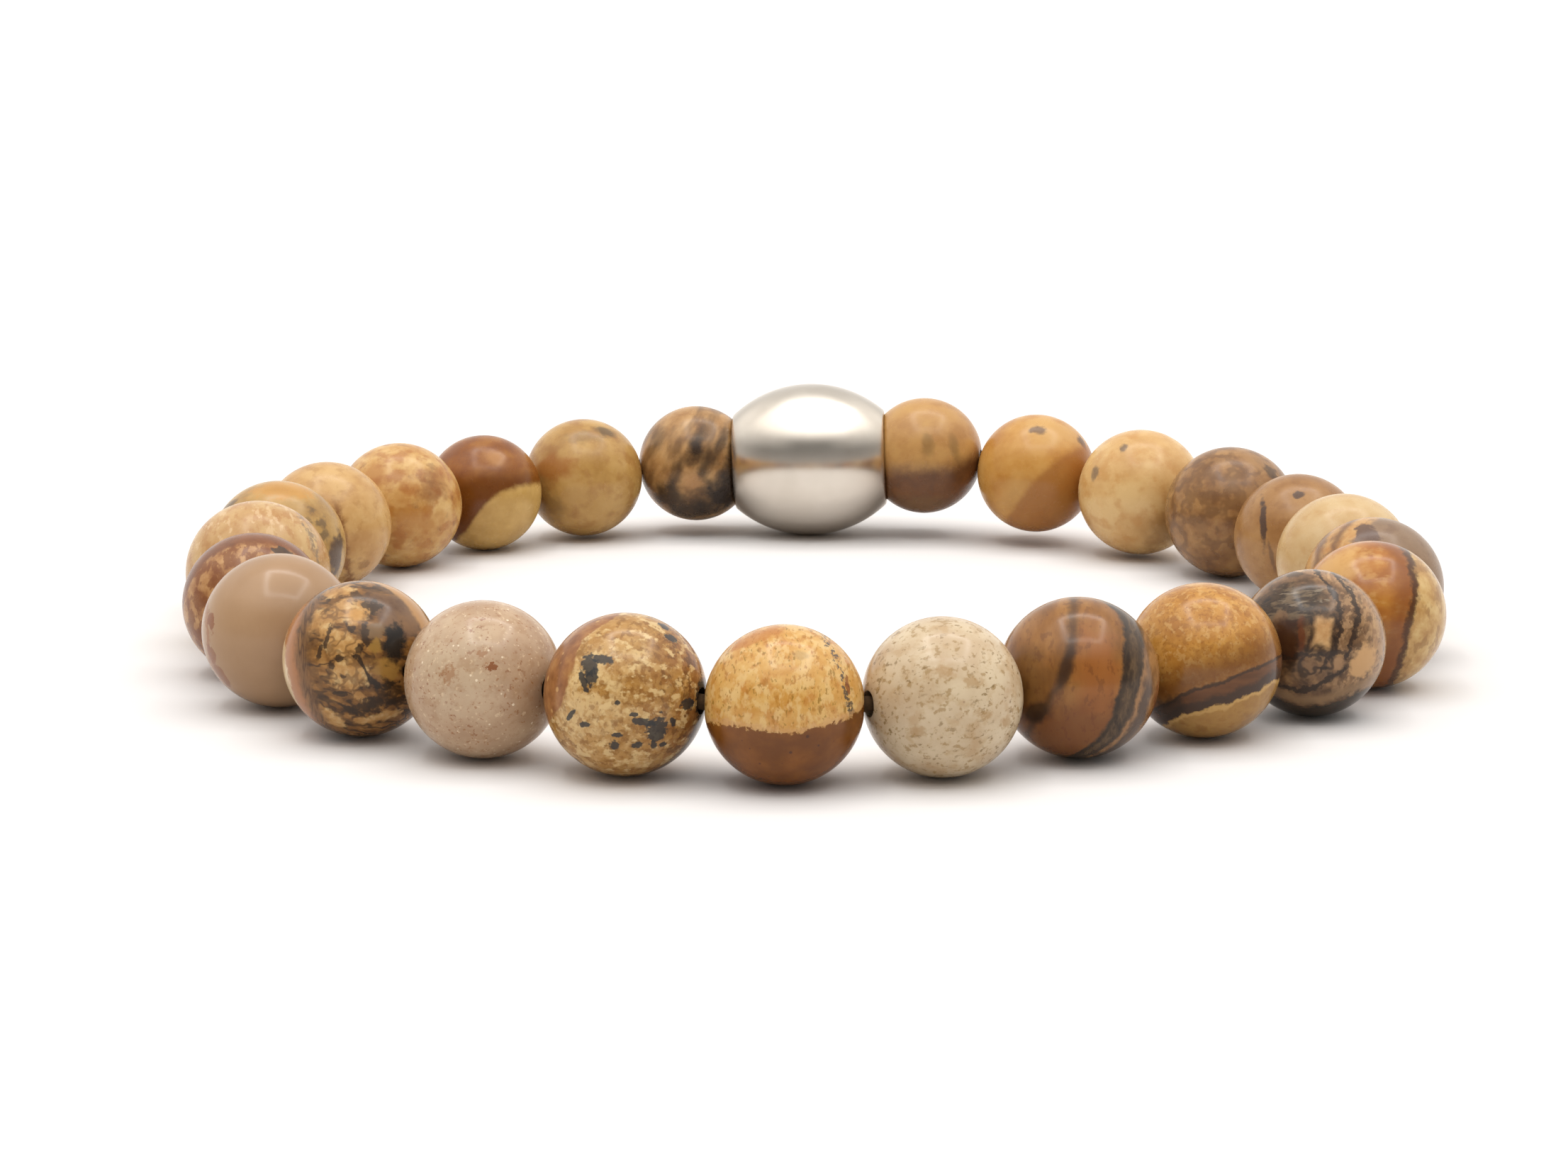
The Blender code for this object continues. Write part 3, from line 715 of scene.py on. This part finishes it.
def brown_banded(stone):
    stone.base((136, 78, 20), (150, 90, 26), (164, 106, 38), size=0.4)
    stone.dab((204, 152, 98), 0.2, 0.6, 0.16, 0.16, grain=0.3, soft=0.6, strength=0.6)
    points = [(-1, 0.2), (-0.3, 0.25), (0.3, 0.35), (1, 0.3)]
    band = stone.line(points, upright=False, wobble=0.06, grain=0.3)
    stone.paint((110, 61, 15), stone.before(band, soft=0.2), strength=0.85)
    points = [(-0.7, -1), (-0.35, -0.7), (-0.1, -0.35), (0.2, -0.05), (0.5, 0.08), (1, 0.16)]
    cut = stone.line(points, upright=False)
    stone.paint(stone.blend((202, 164, 96), (218, 182, 114), size=0.3), stone.before(cut, soft=0.07))


def orange_cream_mottled(stone):
    stone.base((200, 148, 84), (216, 172, 108), (230, 194, 136), size=0.4)
    stone.mottle((178, 112, 52), 0.28, 0.56, soft=0.09, detail=3, strength=0.65)
    stone.dab((150, 94, 52), 0.55, 0.3, 0.22, 0.3, ragged=0.6, grain=0.25, soft=0.5, strength=0.7)
    stone.dab((186, 126, 50), 0, -0.12, 0.5, 0.1, ragged=0.6, grain=0.25, soft=0.5, strength=0.6)
    stone.mottle((132, 88, 54), 0.22, 0.64, soft=0.08, strength=0.45)


def pale_with_brown_side(stone):
    stone.base((198, 152, 94), (212, 170, 112), (222, 184, 128), size=0.5)
    stone.mottle((180, 132, 76), 0.2, 0.6, soft=0.09, strength=0.5)
    side = stone.line([(0.12, 0.6), (0.22, 0), (0.32, -0.6)], wobble=0.08)
    streak = stone.between(side, -0.08, 0.03, soft=0.06)
    lower = stone.outside(stone.step(stone.up, 0.35, 0.15))
    stone.paint((136, 86, 46), stone.both(streak, lower), strength=0.85)
    stone.dab((150, 108, 64), 0.55, -0.62, 0.12, 0.07, grain=0.1, soft=0.4, strength=0.6)


def olive_tan_patched(stone):
    stone.base((172, 134, 78), (190, 154, 94), (204, 168, 110), size=0.4)
    stone.dab(GOLD, 0.1, 0.85, 0.5, 0.15, soft=0.4, strength=0.6)
    grey = (104, 86, 66)
    stone.dab(grey, -0.75, 0.6, 0.18, 0.11, turn=20, grain=0.15, soft=0.4, strength=0.8)
    patches = stone.clouds(0.14, 0.56, soft=0.08, detail=2)
    patches = stone.both(patches, stone.blotch(0.55, 0.3, 0.3, 0.3, soft=0.4))
    stone.paint(grey, patches, strength=0.7)
    stone.dab((84, 68, 64), 0.85, -0.1, 0.1, 0.35, turn=-5, grain=0.2, soft=0.3, strength=0.9)


def pink_cream(stone):
    stone.base((196, 152, 100), (208, 170, 120), (218, 186, 136), size=0.4)
    stone.mottle((188, 138, 88), (0.13, 0.22), 0.56, soft=0.05, strength=0.6)
    stone.mottle((230, 200, 160), (0.1, 0.2), 0.6, soft=0.04, strength=0.7)
    streak = stone.line([(0.55, 0.9), (0.72, 0.5), (0.85, 0.1)], wobble=0.06)
    grey = stone.both(stone.between(streak, -0.04, 0.04, soft=0.03), stone.clouds(0.12, 0.48, soft=0.05))
    stone.paint(ASH, grey, strength=0.8)


def red_brown_cap(stone):
    stone.base((140, 86, 46), (180, 132, 84), (200, 156, 108), size=0.22, detail=5)
    stone.mottle((132, 78, 40), (0.12, 0.2), 0.5, soft=0.05, strength=0.8)
    points = [(-0.97, 0), (-0.8, 0.42), (-0.5, 0.7), (0, 0.84), (0.6, 0.66), (0.95, 0)]
    edge = stone.line(points, upright=False)
    cap = stone.blend((122, 74, 42), (142, 88, 50), size=0.3)
    stone.paint(cap, stone.beyond(edge, soft=0.04))
    stone.dab((74, 60, 52), 0.4, 0.72, 0.14, 0.07, turn=-15, strength=0.9)


STONES = (
    plain_taupe, veined_mosaic, speckled_pink, ink_blotched_cream, half_dipped,
    speckled_ivory, slate_bow, golden_with_dark_bed, broken_mosaic, honey_with_ragged_seam,
    grey_brown_striped, plain_cream, tan_with_dark_streak, mauve_mottled, spotted_gold,
    orange_with_grey_spots, toasted_half, dark_streaked, smudged_gold, brown_banded,
    orange_cream_mottled, pale_with_brown_side, olive_tan_patched, pink_cream, red_brown_cap,
)


def bead_material(number, radius, turn):
    recipe = STONES[number - 1]
    stone = Pattern(recipe.__name__, radius, turn, number, STONE_TONE)
    recipe(stone)
    return stone.finish(FRONT_POLISH if number in FRONT_BEADS else REAR_POLISH)


def steel_material(turn):
    steel = Pattern("polished_steel", BARREL_RADIUS, turn, seed=40)
    steel.base((208, 199, 187), (218, 210, 199), size=0.8)
    return steel.finish(rough=(0.2, 0.25), rough_size=0.5, bump=0.008, metallic=1)


def cord_material():
    cord = Pattern("stretch_cord", CORD_RADIUS, Matrix.Identity(3), seed=41)
    cord.base((62, 46, 30), (78, 58, 38), size=0.8)
    return cord.finish(rough=(0.7, 0.9), rough_size=0.5, bump=0.03, ior=1.2)


def rounded(before, corner, after, size):
    """Points of a small curve in place of a sharp corner of an outline."""
    corner = Vector(corner)
    start = corner + (Vector(before) - corner).normalized() * size
    end = corner + (Vector(after) - corner).normalized() * size
    shares = [step / CORNER_STEPS for step in range(CORNER_STEPS + 1)]
    return [start.lerp(corner, share).lerp(corner.lerp(end, share), share) for share in shares]


def arc_outline(half_length, radius, end_radius, bands):
    """The outer arc of a bead as (along, radius) points."""
    bulge = radius - end_radius
    arc_radius = (half_length**2 + bulge**2) / (2 * bulge)
    half_angle = math.asin(half_length / arc_radius)
    middle = radius - arc_radius
    angles = [half_angle * (2 * n / bands - 1) for n in range(bands + 1)]
    return [Vector((arc_radius * math.sin(a), middle + arc_radius * math.cos(a))) for a in angles]


def bead_outline(radius):
    half_length = math.sqrt(radius**2 - BEAD_HOLE_RADIUS**2)
    arc = arc_outline(half_length, radius, BEAD_HOLE_RADIUS, BEAD_BANDS)
    inside = Vector((0, BEAD_HOLE_RADIUS))
    right = rounded(arc[-2], arc[-1], inside, BEAD_MOUTH)
    left = rounded(inside, arc[0], arc[1], BEAD_MOUTH)
    return left + arc[1:-1] + right


def barrel_outline():
    arc = arc_outline(BARREL_HALF_LENGTH, BARREL_RADIUS, BARREL_END_RADIUS, BARREL_BANDS)
    bore_right = Vector((BARREL_HALF_LENGTH, BARREL_BORE_RADIUS))
    bore_left = Vector((-BARREL_HALF_LENGTH, BARREL_BORE_RADIUS))
    right = rounded(arc[-2], arc[-1], bore_right, BARREL_RIM)
    right += rounded(arc[-1], bore_right, bore_left, BARREL_RIM)
    left = rounded(bore_right, bore_left, arc[0], BARREL_RIM)
    left += rounded(bore_left, arc[0], arc[1], BARREL_RIM)
    return left + arc[1:-1] + right


def along_axis(axis):
    """A turn that brings the X axis to the given direction."""
    side = Vector((0, 0, 1)).cross(axis).normalized()
    return Matrix((axis, side, axis.cross(side))).transposed()


def turned_mesh(name, outline, segments, axis):
    """Turns a closed outline about an axis through the origin."""
    made = bmesh.new()
    rings = []
    lie = along_axis(axis)
    for segment in range(segments):
        turn = 2 * math.pi * segment / segments
        spin = Vector((0, math.cos(turn), math.sin(turn)))
        points = [spin * radius + Vector((along, 0, 0)) for along, radius in outline]
        rings.append([made.verts.new(lie @ point) for point in points])
    for segment in range(segments):
        one = rings[segment]
        other = rings[(segment + 1) % segments]
        for step in range(len(outline)):
            after = (step + 1) % len(outline)
            face = made.faces.new((one[step], other[step], other[after], one[after]))
            face.smooth = True
    bmesh.ops.recalc_face_normals(made, faces=made.faces)
    mesh = bpy.data.meshes.new(name)
    made.to_mesh(mesh)
    made.free()
    return mesh


def bead_node(number):
    return f"jasper_bead_{number:02d}"


def ring_names():
    """The beads and the barrel in their order on the cord."""
    names = [bead_node(number) for number in range(1, BEAD_COUNT + 1)]
    return names[:BEADS_BEFORE_BARREL] + [BARREL] + names[BEADS_BEFORE_BARREL:]


def centre(node):
    low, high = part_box(node)
    return (Vector(low) + Vector(high)) / 2


def bead_radius(node):
    low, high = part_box(node)
    return (high[2] - low[2]) / 2


def ring_axes():
    """Each node's centre, and the direction of its hole."""
    names = ring_names()
    centres = [centre(name) for name in names]
    axes = {}
    for place, name in enumerate(names):
        before = centres[place - 1]
        after = centres[(place + 1) % len(names)]
        axes[name] = (centres[place], (after - before).normalized())
    return axes


def facing_view(place):
    """A turn whose local X points right, Y up and Z towards the viewpoint, as seen in the photograph."""
    toward = (CAMERA_PLACE - place).normalized()
    right = Vector((math.cos(CAMERA_ROLL), 0, math.sin(CAMERA_ROLL)))
    up = toward.cross(right).normalized()
    return Matrix((up.cross(toward), up, toward)).transposed()


def show(name, data):
    """A new object in the scene."""
    made = bpy.data.objects.new(name, data)
    bpy.context.scene.collection.objects.link(made)
    return made


def add_piece(name, data, material, node, place=(0, 0, 0)):
    """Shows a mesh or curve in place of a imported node."""
    piece = show(name, data)
    piece.location = place
    data.materials.append(material)
    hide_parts(node)
    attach(piece, "root")


def add_beads(axes):
    for number in range(1, BEAD_COUNT + 1):
        node = bead_node(number)
        place, axis = axes[node]
        radius = bead_radius(node)
        mesh = turned_mesh(f"polished_bead_{number:02d}", bead_outline(radius), BEAD_SEGMENTS, axis)
        add_piece(mesh.name, mesh, bead_material(number, radius, facing_view(place)), node, place)


def add_barrel(axes):
    place, axis = axes[BARREL]
    mesh = turned_mesh("polished_barrel", barrel_outline(), BARREL_SEGMENTS, axis)
    add_piece(mesh.name, mesh, steel_material(along_axis(axis)), BARREL, place)


def cord_route(axes):
    """Points of the cord with its thickness: straight through each bead, and a knot inside the barrel."""
    route = []
    for name in ring_names():
        place, axis = axes[name]
        if name == BARREL:
            shoulder = KNOT_HALF_LENGTH + KNOT_SHOULDER
            for along, swelling in (
                (-shoulder, 1), (-KNOT_HALF_LENGTH, KNOT_SWELLING),
                (KNOT_HALF_LENGTH, KNOT_SWELLING), (shoulder, 1),
            ):
                route.append((place + axis * along, swelling))
        else:
            for side in (-1, 1):
                route.append((place + axis * CORD_TURN_FROM_CENTRE * side, 1))
    return route


def add_cord(axes):
    data = bpy.data.curves.new("stretch_cord", "CURVE")
    data.dimensions = "3D"
    data.bevel_depth = CORD_RADIUS
    data.bevel_resolution = 4
    route = cord_route(axes)
    spline = data.splines.new("POLY")
    spline.points.add(len(route) - 1)
    spline.use_cyclic_u = True
    for point, (place, swelling) in zip(spline.points, route):
        point.co = (*place, 1)
        point.radius = swelling
    add_piece("stretch_cord", data, cord_material(), CORD)


def paper_material():
    """White paper with painted light and shade: lighter far away, where less of the lamps' light comes, and
    a touch darker and warmer near the bracelet.
    """
    material = bpy.data.materials.new("white_paper")
    paper = Nodes(material)
    distance = paper.add("VectorMath", {0: paper.add("TexCoord")["Object"]}, operation="LENGTH")["Value"]
    away = paper.step(distance, *PAPER_CHANGE)
    colour = paper.mix(away, PAPER_NEAR_PAINTED_SHADE, PAPER_FAR_PAINTED_LIGHT)
    inputs = {"Base Color": colour, "Roughness": 1, "Specular IOR Level": 0}
    shader = paper.add("BsdfPrincipled", inputs)[0]
    paper.add("OutputMaterial", {"Surface": shader})
    return material


def add_floor():
    mesh = bpy.data.meshes.new("floor")
    side = FLOOR_HALF_WIDTH
    corners = [(-side, -side, 0), (side, -side, 0), (side, side, 0), (-side, side, 0)]
    mesh.from_pydata(corners, [], [(0, 1, 2, 3)])
    mesh.materials.append(paper_material())
    show("floor", mesh)


def add_lamps():
    """Strip lamps above the bracelet. A lamp's power is its radiance times pi times its area."""
    reach = LAMP_HALF_WIDTH
    power = LAMP_RADIANCE * math.pi * 2 * reach * LAMP_STRIP
    for name, (right, back), turn, strength in LAMPS:
        light = bpy.data.lights.new(f"lamp_{name}", "AREA")
        light.shape = "RECTANGLE"
        light.size = 2 * reach
        light.size_y = LAMP_STRIP
        light.energy = power * strength
        lamp = show(light.name, light)
        lamp.location = (LAMP_MIDDLE.x + reach * right, LAMP_MIDDLE.y + reach * back, LAMP_HEIGHT)
        lamp.rotation_euler = (0, 0, math.radians(turn))


def add_world():
    """A white tent: a bright ceiling, a lit back wall and a dimmer front wall behind the camera."""
    world = bpy.data.worlds.new("white_tent")
    bpy.context.scene.world = world
    tent = Nodes(world)
    axes = tent.add("SeparateXYZ", {0: tent.add("TexCoord")["Generated"]})
    wall = tent.step(axes[1], *WALL_CHANGE, low=FRONT_WALL_RADIANCE, high=BACK_WALL_RADIANCE)
    rise = tent.step(axes[1], *CEILING_RISE_CHANGE, high=CEILING_RISE_AT_BACK)
    ceiling = tent.step(tent.maths("SUBTRACT", axes[2], rise), *CEILING_CHANGE)
    share = tent.maths("SUBTRACT", CEILING_RADIANCE, wall)
    sideways = tent.step(tent.maths("ABSOLUTE", axes[0]), *SIDE_GLOW_SIDEWAYS)
    side = tent.both(tent.both(sideways, tent.step(axes[2], *SIDE_GLOW_UPWARDS)), tent.outside(ceiling))
    glow = tent.maths("MULTIPLY_ADD", side, SIDE_GLOW_RADIANCE, wall)
    haze = tent.outside(tent.step(tent.maths("ABSOLUTE", axes[2]), *HORIZON_CHANGE))
    glow = tent.maths("MULTIPLY_ADD", haze, HORIZON_RADIANCE, glow)
    strength = tent.maths("MULTIPLY_ADD", ceiling, share, glow)
    background = tent.add("Background", {"Color": TENT_COLOUR, "Strength": strength})[0]
    tent.add("OutputWorld", {"Surface": background})


def add_camera():
    data = bpy.data.cameras.new("camera")
    data.sensor_width = SENSOR_WIDTH
    data.lens = LENS
    data.clip_start = 1 * MM
    data.clip_end = 10
    camera = show("camera", data)
    turn = Matrix.Rotation(math.pi / 2 - CAMERA_DOWN, 4, "X") @ Matrix.Rotation(CAMERA_ROLL, 4, "Z")
    camera.matrix_world = Matrix.Translation(CAMERA_PLACE) @ turn
    bpy.context.scene.camera = camera


def build():
    add_camera()
    axes = ring_axes()
    add_cord(axes)
    add_beads(axes)
    add_barrel(axes)
    add_floor()
    add_lamps()
    add_world()
    bpy.context.scene.view_settings.view_transform = "Standard"


build()
